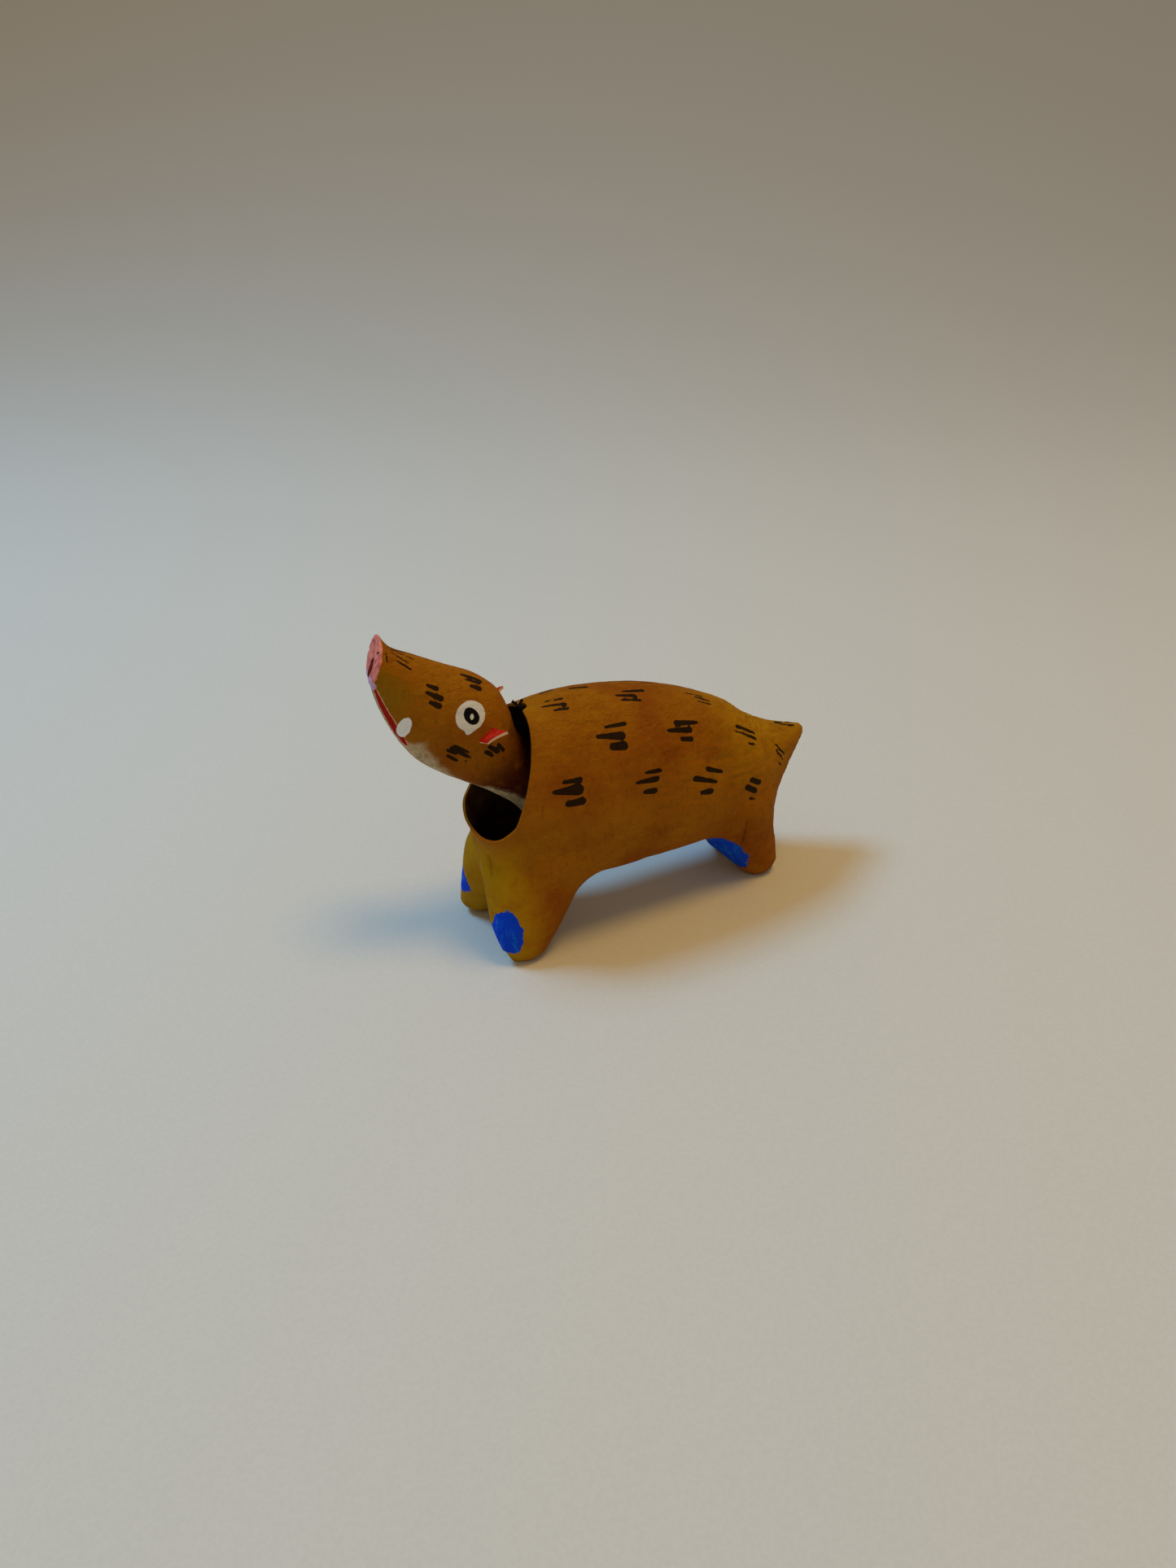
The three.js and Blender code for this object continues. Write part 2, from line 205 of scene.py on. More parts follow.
TRUNK = Loft(BODY_SECTIONS, bottom_power=2.6, widest_at=0.5)
HEAD = Loft(HEAD_SECTIONS, bottom_power=2.2, widest_at=0.56)


def body_form(x, y, z):
    side = -np.abs(y)
    shift = np.where(y > 0, np.clip(1 - z / 20, 0, 1), 0)
    foreleg = limb(x - FAR_FOREFOOT_SHIFT[0] * shift, side + FAR_FOREFOOT_SHIFT[1] * shift, z, **FORELEG)
    front = smooth_union(foreleg, limb(x, y, z, **BREAST), 3)
    chested = smooth_union(TRUNK.distance(x, y, z), front, 4)
    thighed = smooth_union(chested, limb(x, side, z, **THIGH), 2)
    return smooth_union(thighed, limb(x, side, z, **HINDLEG), 3)


# ------------------------------------------------------------------ from forms to meshes

def slope_of(form, points, step=0.05):
    columns = []
    for axis in range(3):
        offset = np.zeros(3)
        offset[axis] = step
        columns.append((form(*(points + offset).T) - form(*(points - offset).T)) / (2 * step))
    return np.stack(columns, axis=1)


def skin(form, low, high, cell):
    """Points and outward quads over the space where the form is negative: one point in each grid
    cell that the surface crosses, settled onto the surface, and a quad over each crossed edge."""
    lines = [np.arange(lo, hi + cell, cell) for lo, hi in zip(low, high)]
    value = form(*np.meshgrid(*lines, indexing="ij"))
    inside = value < 0
    corners = [(i, j, k) for i in (0, 1) for j in (0, 1) for k in (0, 1)]

    def corner_of_cells(grid, corner):
        return grid[tuple(slice(c, c - 1 or None) for c in corner)]

    count = sum(corner_of_cells(inside, c).astype(int) for c in corners)
    crossed = (count > 0) & (count < 8)
    cells = np.argwhere(crossed)
    number = np.full(crossed.shape, -1)
    number[crossed] = np.arange(len(cells))
    at_corner = {c: value[tuple((cells + c).T)] for c in corners}

    total = np.zeros(cells.shape)
    crossings = np.zeros(len(cells))
    for start in corners:
        for axis in range(3):
            if start[axis]:
                continue
            end = tuple(1 if i == axis else c for i, c in enumerate(start))
            a, b = at_corner[start], at_corner[end]
            hit = (a < 0) != (b < 0)
            place = np.tile(np.array(start, float), (len(cells), 1))
            place[:, axis] = a / np.where(hit, a - b, 1)
            total[hit] += place[hit]
            crossings[hit] += 1
    corner_place = np.array(low) + cells * cell
    points = corner_place + total / crossings[:, None] * cell
    for _ in range(3):
        slope = slope_of(form, points)
        steep = np.maximum((slope ** 2).sum(axis=1), 0.2)
        points = points - slope * (form(*points.T) / steep)[:, None]
        points = np.clip(points, corner_place + 0.02, corner_place + cell - 0.02)

    quads = []
    for axis in range(3):
        right, ahead = (axis + 1) % 3, (axis + 2) % 3
        here = [slice(1, -1)] * 3
        here[axis] = slice(0, -1)
        there = list(here)
        there[axis] = slice(1, None)
        a, b = inside[tuple(here)], inside[tuple(there)]
        for leaving, outward in ((a & ~b, True), (~a & b, False)):
            edge = np.argwhere(leaving) + [0 if i == axis else 1 for i in range(3)]
            ring = []
            for back, down in ((1, 1), (0, 1), (0, 0), (1, 0)):
                around = edge.copy()
                around[:, right] -= back
                around[:, ahead] -= down
                ring.append(number[tuple(around.T)])
            quads.append(np.stack(ring if outward else ring[::-1], axis=1))
    return points, np.concatenate(quads)


def mesh_object(name, points, faces, material):
    """An object at the origin whose mesh holds these points, given in millimetres."""
    mesh = bpy.data.meshes.new(name)
    mesh.from_pydata((np.asarray(points) * MM).tolist(), [], np.asarray(faces).tolist())
    mesh.polygons.foreach_set("use_smooth", [True] * len(mesh.polygons))
    mesh.materials.append(material)
    obj = bpy.data.objects.new(name, mesh)
    bpy.context.scene.collection.objects.link(obj)
    return obj


FAR = 5.0                   # a painted layer's value well away from its paint


def set_layers(obj, layers):
    """Stores painted layers as point attributes of the mesh."""
    for name, values in layers.items():
        attribute = obj.data.attributes.new(name, "FLOAT", "POINT")
        attribute.data.foreach_set("value", np.asarray(values, np.float32))


def apply_modifiers(obj):
    """Turns an object's modifiers into plain mesh."""
    graph = bpy.context.evaluated_depsgraph_get()
    finished = bpy.data.meshes.new_from_object(obj.evaluated_get(graph), depsgraph=graph)
    obj.modifiers.clear()
    obj.data = finished


def rough(points, size, octaves=3, stretch=(1, 1, 1), seed=0.0):
    """Smooth random relief from -1 to 1, with features about size millimetres wide."""
    scaled = points / (np.array(stretch) * size) + seed
    return np.array([noise.fractal(Vector(p), 1.0, 2.0, octaves) for p in scaled])


def line_distance(points, line):
    """Distance of each point from an open line of straight stretches."""
    best = np.full(len(points), 1e3)
    for a, b in zip(line[:-1], line[1:]):
        a, b = np.array(a, float), np.array(b, float)
        along = np.clip((points - a) @ (b - a) / ((b - a) @ (b - a)), 0, 1)
        best = np.minimum(best, np.linalg.norm(points - a - along[:, None] * (b - a), axis=1))
    return best


def mirrored(points):
    return points * [1, -1, 1]


# ------------------------------------------------------------------ brushed marks

# Each dash on the near side: x, angle down from the crest, length, tilt down towards the tail in
# degrees, half width at its front end and at its rear end. For most dashes, on the head too, the
# first four values were printed by a separate projection script and then adjusted by hand.
BACK_DASHES = [
    (-15.3, 8, 4.2, 9, 0.25, 0.32), (-16.0, 13.5, 5.6, 12, 0.22, 0.4), (-15.0, 19.5, 3.6, 9, 0.24, 0.34),
    (2.9, 11, 5.8, -3, 0.3, 0.5), (0.4, 16.5, 5.2, 6, 0.3, 0.48), (1.1, 21.5, 5.2, 5, 0.3, 0.36),
    (18.4, 10, 4.8, 2, 0.26, 0.3), (19.8, 14, 4.4, 6, 0.26, 0.3), (19.7, 19, 4.1, 3, 0.22, 0.26),
    (-8.5, -2, 4.4, 10, 0.4, 0.45), (8.4, -5, 3.4, 4, 0.28, 0.28),
    (33.8, 13, 2.6, 0, 0.2, 0.22), (45.3, 10, 6.0, 12, 0.3, 0.42),
]
FLANK_DASHES = [
    (-5.0, 40, 5.4, -1, 0.34, 0.5), (-6.7, 46.5, 6.8, 7, 0.42, 0.95), (-5.4, 53.5, 4.3, 5, 0.8, 0.95),
    (12.3, 41, 6.6, -4, 0.75, 0.4), (10.2, 46.5, 6.8, -2, 0.4, 0.72), (11.6, 53, 3.4, 1, 0.55, 0.6),
    (29.1, 38, 6.0, 2, 0.42, 0.46), (28.4, 44, 6.6, 6, 0.26, 0.42), (29.5, 52, 2.4, -4, 0.3, 0.36),
    (39.7, 59, 4.6, 49, 0.34, 0.36), (39.0, 65.5, 4.5, 54, 0.42, 0.26), (38.8, 78, 1.9, 50, 0.26, 0.28),
    (-16.8, 68.5, 4.7, 1, 0.45, 0.6), (-18.1, 74, 7.2, 2, 0.42, 1.2), (-16.6, 81.5, 4.8, -3, 0.75, 0.85),
    (1.9, 72, 4.5, -1, 0.42, 0.46), (0.3, 77, 6.0, -1, 0.4, 0.72), (0.9, 84, 3.7, 4, 0.52, 0.72),
    (17.7, 75.5, 5.0, 12, 0.62, 0.42), (15.1, 82, 7.0, 13, 0.72, 0.42), (15.4, 90.5, 3.9, 2, 0.5, 0.72),
    (29.4, 86, 4.0, 18, 0.62, 0.68), (28.1, 93, 4.4, 26, 0.7, 0.72), (28.7, 102.5, 2.3, 12, 0.46, 0.5),
]
FACE_DASHES = [
    (-24.0, 56, 2.7, -6, 0.34, 0.5), (-22.9, 66.5, 3.9, -6, 0.34, 0.62), (-21.9, 76.5, 2.8, -9, 0.42, 0.66),
    (-12.7, 104, 3.6, -8, 0.42, 0.3), (-12.4, 108, 4.6, -6, 0.6, 0.42), (-13.8, 112, 2.4, -10, 0.4, 0.4),
    (-12.8, 118, 2.7, -2, 0.42, 0.42), (-10.2, 113, 0.9, 30, 0.2, 0.2), (-9.9, 107, 0.8, 0, 0.18, 0.2),
    (-7.3, 90.5, 2.5, -14, 0.46, 0.4), (-7.0, 80.5, 3.2, -14, 0.5, 0.5), (-5.8, 70, 2.5, -9, 0.42, 0.42),
]
BROW_DASHES = [
    (-17.6, 13, 4.8, -4, 0.34, 0.4), (-17.3, 20, 3.4, -8, 0.26, 0.36), (-16.4, 28, 2.8, -12, 0.4, 0.62),
]
WHISKERS = [
    (-34.2, 44, 2.0, 60, 0.21, 0.21), (-31.2, 8, 5.2, 14, 0.21, 0.21), (-31.6, 24, 4.2, 18, 0.21, 0.21),
    (-30.6, 40, 3.6, 10, 0.22, 0.21),
]


THINNEST_DASH = 0.19        # half width


def brushed_line(loft, x, angle, length, tilt, front, rear):
    """The middle line of a dash on the form's -y side, and its half width at each end."""
    per_degree = np.linalg.norm(loft.point(x, angle + 1) - loft.point(x, angle - 1)) / 2
    along, down = math.cos(math.radians(tilt)), math.sin(math.radians(tilt)) / per_degree
    ends = (-length / 2 + front, 0, length / 2 - rear)
    return [loft.point(x + along * end, angle + down * end) for end in ends], front, rear


def dash_layer(points, loft, dashes):
    """Distance in millimetres outside the nearest dash, negative on it."""
    layer = np.full(len(points), FAR)
    for dash in dashes:
        line, front, rear = brushed_line(loft, *dash)
        near = np.flatnonzero(np.abs(points - line[1]).max(axis=1) < 6)
        here = points[near]
        whole = line[2] - line[0]
        share = np.clip((here - line[0]) @ whole / (whole @ whole), 0, 1)
        off = line_distance(here, line) - np.maximum(front + (rear - front) * share, THINNEST_DASH)
        layer[near] = np.minimum(layer[near], off)
    return layer


def for_far_side(dashes):
    """The same hand's dashes on the other side, never quite in the same places."""
    return [(x + 1.6 + 1.2 * math.sin(3 * x), angle + 2.5 * math.cos(2 * x), length, tilt * 0.6, rear, front)
            for x, angle, length, tilt, front, rear in dashes if angle > 5]


def patch(points, loft, x, degrees, turn=0.0):
    """Flat coordinates round a place on the form: along x, and down the girth, turned by degrees."""
    centre = loft.point(x, degrees)
    along = loft.point(x + 0.5, degrees) - loft.point(x - 0.5, degrees)
    down = loft.point(x, degrees + 3) - loft.point(x, degrees - 3)
    along /= np.linalg.norm(along)
    down -= along * (down @ along)
    down /= np.linalg.norm(down)
    a, b = (points - centre) @ along, (points - centre) @ down
    c, s = math.cos(math.radians(turn)), math.sin(math.radians(turn))
    facing = (points - centre) @ np.cross(along, down)
    return np.where(np.abs(facing) < 4, c * a + s * b, 50), c * b - s * a


def oval(a, b, half_length, half_width):
    return (np.hypot(a / half_length, b / half_width) - 1) * min(half_length, half_width)


# ------------------------------------------------------------------ body

# Creases pressed into the paper: the line they follow, their depth and their half width. Painted shade also
# darkens the paper along each line.
BODY_CREASES = [
    ([(-33.6, -0.8, 23.0), (-33.2, -0.5, 19.5), (-32.2, 0.2, 15.0), (-31.0, 1.0, 12.5)], 0.8, 0.45),
    ([(-32.2, -2.6, 26.0), (-32.6, -5.4, 25.2), (-32.8, -7.0, 22.2), (-33.0, -6.8, 19.0),
      (-32.6, -5.0, 15.5)], 0.42, 0.35),
    ([(27.7, -12.6, 20.0), (28.0, -11.9, 16.0), (28.2, -10.9, 12.0), (27.4, -9.6, 9.0)], 0.5, 0.55),
    ([(12.0, -12.4, 20.0), (18.0, -12.6, 16.6), (24.0, -11.4, 13.4)], 0.12, 0.8),
]
# Soft hollows and swellings: place, radius, height.
BODY_SWELLS = [
    ((22.0, -13.8, 37.0), 7.0, -0.5),
    ((12.0, -12.0, 44.0), 6.0, -0.35),
    ((30.0, -11.5, 33.0), 6.0, 0.4),
    ((33.0, -11.5, 22.0), 5.0, 0.3),
    ((38.5, -8.5, 27.0), 4.5, -0.4),
    ((-12.0, -13.8, 34.0), 8.0, 0.25),
    ((36.5, -8.0, 12.5), 4.5, -0.45),
    ((-33.0, 12.0, 33.0), 8.0, -2.4),
    ((-32.4, -11.0, 0.5), 5.6, -2.6),
]


# The blue patches on the fronts of the feet: centre and half extents.
HOOF_PATCHES = [
    ((-31.6, -10.6, 8.2), (3.4, 4.5, 6.0)),
    ((-31.8, 9.8, 11.8), (3.6, 3.9, 5.0)),
    ((24.6, -7.4, 7.6), (8.2, 3.8, 7.4)),
    ((24.6, 7.4, 7.6), (8.2, 3.8, 7.4)),
]


def body_relief(points):
    """How far hand-laid paper stands off the ideal form, in millimetres."""
    x, y, z = points.T
    relief = 0.22 * rough(points, 13, seed=3.1) + 0.05 * rough(points, 3.2, seed=7.7)
    flank = ease(z, 24, 32) * (1 - ease(z, 44, 50)) * ease(x, -8, 4) * (1 - ease(x, 40, 46))
    wrinkle = rough(points, 2.3, octaves=4, stretch=(2.6, 1.2, 0.8), seed=1.9)
    relief += flank * 0.26 * (0.5 - np.abs(wrinkle) * 2)
    rump = ease(x, 22, 32)
    upright = rough(points, 1.6, octaves=3, stretch=(0.9, 0.9, 4.0), seed=5.3)
    relief += rump * 0.17 * (0.5 - np.abs(upright) * 2)
    for place, radius, height in BODY_SWELLS:
        off = np.linalg.norm(points - np.array(place), axis=1)
        relief += height * np.exp(-(off / radius) ** 2)
    for line, depth, half_width in BODY_CREASES:
        relief -= depth * np.exp(-(line_distance(points, line) / half_width) ** 2)
    return relief


# Distance from the nearest crease line, for the painted shade that darkens the paper in the creases.
def crease_layer(points, creases):
    layer = np.full(len(points), FAR)
    for line, _, half_width in creases:
        layer = np.minimum(layer, line_distance(points, line) - half_width * 0.4)
    return layer


def hoof_layer(points):
    """Distance outside the blue hoof patches, negative on them."""
    x, y, z = points.T
    layer = np.full(len(points), FAR)
    for (cx, cy, cz), (rx, ry, rz) in HOOF_PATCHES:
        off = (np.sqrt(((x - cx) / rx) ** 2 + ((y - cy) / ry) ** 2 + ((z - cz) / rz) ** 2) - 1) * ry
        layer = np.minimum(layer, off)
    return layer


def cut_neck_opening(obj):
    """Takes away the front of the trunk ahead of both rim cuts, with a nick at the top of the rim,
    and rounds the rim's line as scissors leave it."""
    bm = bmesh.new()
    bm.from_mesh(obj.data)
    nick = bm.verts.layers.float.new("nick")
    for vert in bm.verts:
        y, z = abs(vert.co.y) / MM, vert.co.z / MM
        if y < NOTCH_WIDTH and z > NOTCH_ABOVE:
            edge = min(max((y - (NOTCH_WIDTH - NOTCH_CORNER) / 2) / NOTCH_CORNER, 0), 1)
            vert[nick] = (1 - edge * edge * (3 - 2 * edge)) * NOTCH_DEPTH * MM
            vert.co.x -= vert[nick]
    across = [Vector((math.cos(lean), 0, -math.sin(lean))) for _, lean in RIM_CUTS]
    for (place, _), normal in zip(RIM_CUTS, across):
        bmesh.ops.bisect_plane(bm, geom=[*bm.verts, *bm.edges, *bm.faces], plane_co=place * MM,
                               plane_no=normal, dist=1e-7)

    def ahead(point):
        return max((point - place * MM).dot(normal) for (place, _), normal in zip(RIM_CUTS, across))

    front = [face for face in bm.faces if ahead(face.calc_center_median()) < 0]
    bmesh.ops.delete(bm, geom=front, context="FACES")
    loose = [vert for vert in bm.verts if not vert.link_faces]
    bmesh.ops.delete(bm, geom=loose, context="VERTS")
    by_the_rim = [vert for vert in bm.verts
                  if any(end.is_boundary for edge in vert.link_edges for end in edge.verts)]
    bmesh.ops.remove_doubles(bm, verts=by_the_rim, dist=0.4 * BODY_CELL * MM)
    for _ in range(ROUNDINGS):
        moves = {}
        for vert in bm.verts:
            if vert.is_boundary and vert.co.z < ROUNDED_BELOW * MM:
                beside = [edge.other_vert(vert).co for edge in vert.link_edges if edge.is_boundary]
                moves[vert] = vert.co.lerp(sum(beside, Vector()) / len(beside), 0.5)
        for vert, place in moves.items():
            vert.co = place
    thick = [min(1, ahead(vert.co) / (RIM_TAPER * MM)) for vert in bm.verts]
    for vert in bm.verts:
        vert.co.x += vert[nick]
    bm.to_mesh(obj.data)
    bm.free()
    group = obj.vertex_groups.new(name="thick")
    for number, share in enumerate(thick):
        group.add([number], max(share, 0), "REPLACE")


def make_body(paint, inside):
    points, quads = skin(body_form, (-42, -17, -3), (53, 17.5, 58), BODY_CELL)
    slope = slope_of(body_form, points)
    x, _, z = points.T
    near_dashes = dash_layer(points, TRUNK, BACK_DASHES + FLANK_DASHES)
    far_dashes = dash_layer(mirrored(points), TRUNK, for_far_side(BACK_DASHES + FLANK_DASHES))
    chest = (1 - ease(x, -31, -22)) * (1 - ease(z, 23, 33))
    rump = ease(x, 12, 30) * ease(z, 24, 38)
    layers = {
        "dash": np.minimum(near_dashes, far_dashes),
        "hoof": hoof_layer(points),
        # painted shade along the body's creases
        "crease": crease_layer(points, BODY_CREASES),
        "yellow": np.clip(chest + 0.75 * rump, 0, 1),
    }
    push = slope / np.linalg.norm(slope, axis=1)[:, None] * body_relief(points)[:, None]
    push[:, 2] *= ease(z, 0, 3)
    points = points + push
    points[:, 2] = np.maximum(points[:, 2], 0)
    obj = mesh_object("painted_body", points, quads, paint)
    obj.data.materials.append(inside)
    set_layers(obj, layers)

    cut_neck_opening(obj)
    wall = obj.modifiers.new("wall", "SOLIDIFY")
    wall.thickness = WALL * MM
    wall.offset = -1
    wall.use_rim = True
    wall.vertex_group = "thick"
    wall.thickness_vertex_group = RIM_SHARE
    # the inner faces take the dark brown of the painted shade inside the hollow
    wall.material_offset = 1
    wall.material_offset_rim = 0
    apply_modifiers(obj)
    obj.data.set_sharp_from_angle(angle=math.radians(55))
    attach(obj, "trunk")
    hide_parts("body")


# ------------------------------------------------------------------ head

SNOUT_TURN = 0.17
MOUTH_LINE = [(-34.6, 138), (-32.0, 139), (-29.0, 141), (-26.0, 143), (-23.5, 144.5), (-21.2, 147)]
PALE_LINE = np.array([(-40, 150), (-34, 146), (-28, 149), (-23, 147), (-20.8, 138), (-19.2, 126), (-15, 133),
                      (-11, 144), (-7, 152), (-4, 150), (-2, 134), (2, 118), (8, 110), (40, 110)])
# Creases in the head's paper: the line they follow, their depth and their half width. Painted shade also
# darkens the paper along each line.
HEAD_CREASES = [
    ([(-33.4, -3.6, 3.4), (-33.0, -3.2, 4.2), (-32.6, -2.6, 4.6)], 0.18, 0.3),
    ([(-4.5, -6.0, -7.2), (-1.0, -6.2, -6.4), (4.0, -6.3, -5.6)], 0.15, 0.35),
]


def behind_snout_cut(x, y, z):
    """Distance behind the slanting cut that ends the snout, which faces a little to the left."""
    return ((x - SNOUT_CUT.x) * math.cos(SNOUT_LEAN) - (z - SNOUT_CUT.z) * math.sin(SNOUT_LEAN)
            + SNOUT_TURN * y)


def head_form(x, y, z):
    return -smooth_union(-HEAD.distance(x, y, z), behind_snout_cut(x, y, z), 0.5)


def head_relief(points):
    x, y, z = points.T
    relief = 0.16 * rough(points, 9, seed=11.3) + 0.04 * rough(points, 2.4, seed=2.2)
    nose = 1 - ease(behind_snout_cut(x, y, z), 0.1, 1.2)
    relief += nose * 0.16 * rough(points, 1.1, octaves=3, seed=8.8)
    side = -np.abs(y)
    mirrored_side = np.stack([x, side, z], axis=1)
    for line, depth, half_width in HEAD_CREASES:
        relief -= depth * np.exp(-(line_distance(mirrored_side, line) / half_width) ** 2)
    return relief


def face_layers(points):
    x, y, z = points.T
    side = np.stack([x, -np.abs(y), z], axis=1)
    angle = HEAD.angle(x, y, z)
    behind = behind_snout_cut(x, y, z)

    white = oval(*patch(side, HEAD, -15.0, 66.5), 2.85, 3.1)
    white = smooth_union(white, oval(*patch(side, HEAD, -13.6, 83), 0.55, 0.85), 0.7)
    pupil = oval(*patch(side, HEAD, -14.8, 66, turn=22), 1.86, 1.4)
    glint = oval(*patch(side, HEAD, -14.65, 66.5, turn=60), 0.62, 0.42)
    glint = np.maximum(glint, -oval(*patch(side, HEAD, -14.6, 66), 0.16, 0.16))
    tusk = oval(*patch(side, HEAD, -23.8, 128, turn=-26), 1.3, 2.75)
    mouth = [HEAD.point(*place) for place in MOUTH_LINE]
    width = np.interp(x, [-34, -29, -24, -21], [0.5, 0.85, 1.1, 0.6])
    pale_from = np.interp(x, PALE_LINE[:, 0], PALE_LINE[:, 1])
    girth = math.radians(1) * 8.0
    flat_face = np.stack([np.zeros(len(y)), -np.abs(y), z], axis=1)
    nostril = line_distance(flat_face, [(0, -2.4, 4.3), (0, -1.5, 3.6)]) - 0.22
    return {
        "dash": np.minimum(dash_layer(side, HEAD, FACE_DASHES + WHISKERS),
                           dash_layer(points, HEAD, BROW_DASHES)),
        "eye": white,
        "pupil": pupil,
        "glint": glint,
        "tusk": tusk,
        "mouth": line_distance(side, mouth) - width,
        "mouth_edge": line_distance(side, mouth) - width - 0.22,
        "pale": (pale_from - angle) * girth,
        "nose": behind - 0.35,
        "nostril": np.maximum(nostril, behind - 0.6),
        "gum": np.maximum(oval(y + 0.4, z - 0.2, 0.9, 2.0), behind - 0.6),
        "lip": np.maximum(z + 1.1, behind - 1.0),
        # painted shade along the head's creases
        "crease": crease_layer(side, HEAD_CREASES),
        # painted shade: 0 ahead of the neck, rising to 1 where the neck sits inside the body
        "neck": ease(x, -8, 1),
        "olive": ease(angle, 60, 85) * (1 - ease(x, -29, -23)) * ease(behind, 0.2, 1.0),
    }


def make_head(paint):
    points, quads = skin(head_form, (-41.13, -10, -17.4), (37, 10, 14), HEAD_CELL)
    slope = slope_of(head_form, points)
    layers = face_layers(points)
    points = points + slope / np.linalg.norm(slope, axis=1)[:, None] * head_relief(points)[:, None]
    obj = mesh_object("painted_head", points, quads, paint)
    set_layers(obj, layers)
    place_in_head(obj)
    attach(obj, "hanging_head")
    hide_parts("head")


def place_in_head(obj):
    """Moves a mesh made in the head's axes, in metres, to its place in the frame."""
    in_metres = HEAD_POSE.copy()
    in_metres.translation *= MM
    obj.data.transform(in_metres)


# ------------------------------------------------------------------ ears and thread

EAR_CARD = 0.6
EAR_CUP, EAR_RIPPLE = 0.45, 0.08
EAR_SUNK = 0.15             # how far the root is pushed into the head's paint
EAR_CORNERS = [(0, 0), (3.8, 0), (5.25, 3.87), (0.93, 2.16)]
# Where each ear's root line starts, where it runs and where the card stands out to, in the head's
# axes, as if on the -y side. The right ear stands a little higher.
LEFT_EAR = dict(root=(-10.54, -7.56, 0.38), along=(0.24, 0.24, 0.93), out=(0.39, -0.89, 0.235))
RIGHT_EAR = dict(root=(-9.84, -7.24, 2.18), along=(0.24, 0.5, 0.9), out=(0.39, -0.8, 0.5))


def make_ear(name, node, paint, edge, root, along, out, mirror=1):
    """A card quadrilateral, slightly cupped, standing on its root line."""
    steps = 10
    root, along, out = Vector(root), Vector(along).normalized(), Vector(out)
    out = (out - along * out.dot(along)).normalized()
    corners = [Vector(c) for c in EAR_CORNERS]
    points, quads = [], []
    through = along.cross(out)
    for i in range(steps + 1):
        for j in range(steps + 1):
            u, v = i / steps, j / steps
            flat = (corners[0].lerp(corners[1], u)).lerp(corners[3].lerp(corners[2], u), v)
            cup = EAR_CUP * math.sin(math.pi * u) * v + EAR_RIPPLE * math.sin(5 * u + 2 * v)
            point = root + along * flat.x + out * (flat.y - EAR_SUNK) - through * cup
            points.append((point.x, point.y * mirror, point.z))
    for i in range(steps):
        for j in range(steps):
            a = i * (steps + 1) + j
            quads.append((a, a + 1, a + steps + 2, a + steps + 1))
    obj = mesh_object(name, points, quads, paint)
    bm = bmesh.new()
    bm.from_mesh(obj.data)
    bmesh.ops.recalc_face_normals(bm, faces=bm.faces)
    bm.to_mesh(obj.data)
    bm.free()
    card = obj.modifiers.new("card", "SOLIDIFY")
    card.thickness = EAR_CARD * MM
    card.offset = 0
    card.use_even_offset = True
    card.material_offset_rim = 1
    obj.data.materials.append(edge)
    apply_modifiers(obj)
    obj.data.set_sharp_from_angle(angle=math.radians(40))
    place_in_head(obj)
    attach(obj, "hanging_head")
    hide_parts(node)


PLY_RADIUS = 0.2
TWIST_PITCH = 1.6
KNOT_ABOVE = 1.9
THREAD_PATHS = {
    "stem": [(0, 0, KNOT_ABOVE), (0.1, 0.05, 0.6), (0, 0, -2.4)],
    "tail_left": [(0, 0, KNOT_ABOVE), (-0.4, 0.8, KNOT_ABOVE + 0.6), (-0.8, 1.8, KNOT_ABOVE + 0.9)],
    "tail_right": [(0, 0, KNOT_ABOVE), (0.4, 0.5, KNOT_ABOVE + 0.7), (1.1, 1.1, KNOT_ABOVE + 1.0)],
    "loop": [(0.35, -0.5, KNOT_ABOVE), (-0.45, -0.1, KNOT_ABOVE + 0.45), (-0.1, 0.55, KNOT_ABOVE),
             (0.45, 0.0, KNOT_ABOVE - 0.45), (0.35, -0.5, KNOT_ABOVE)],
}


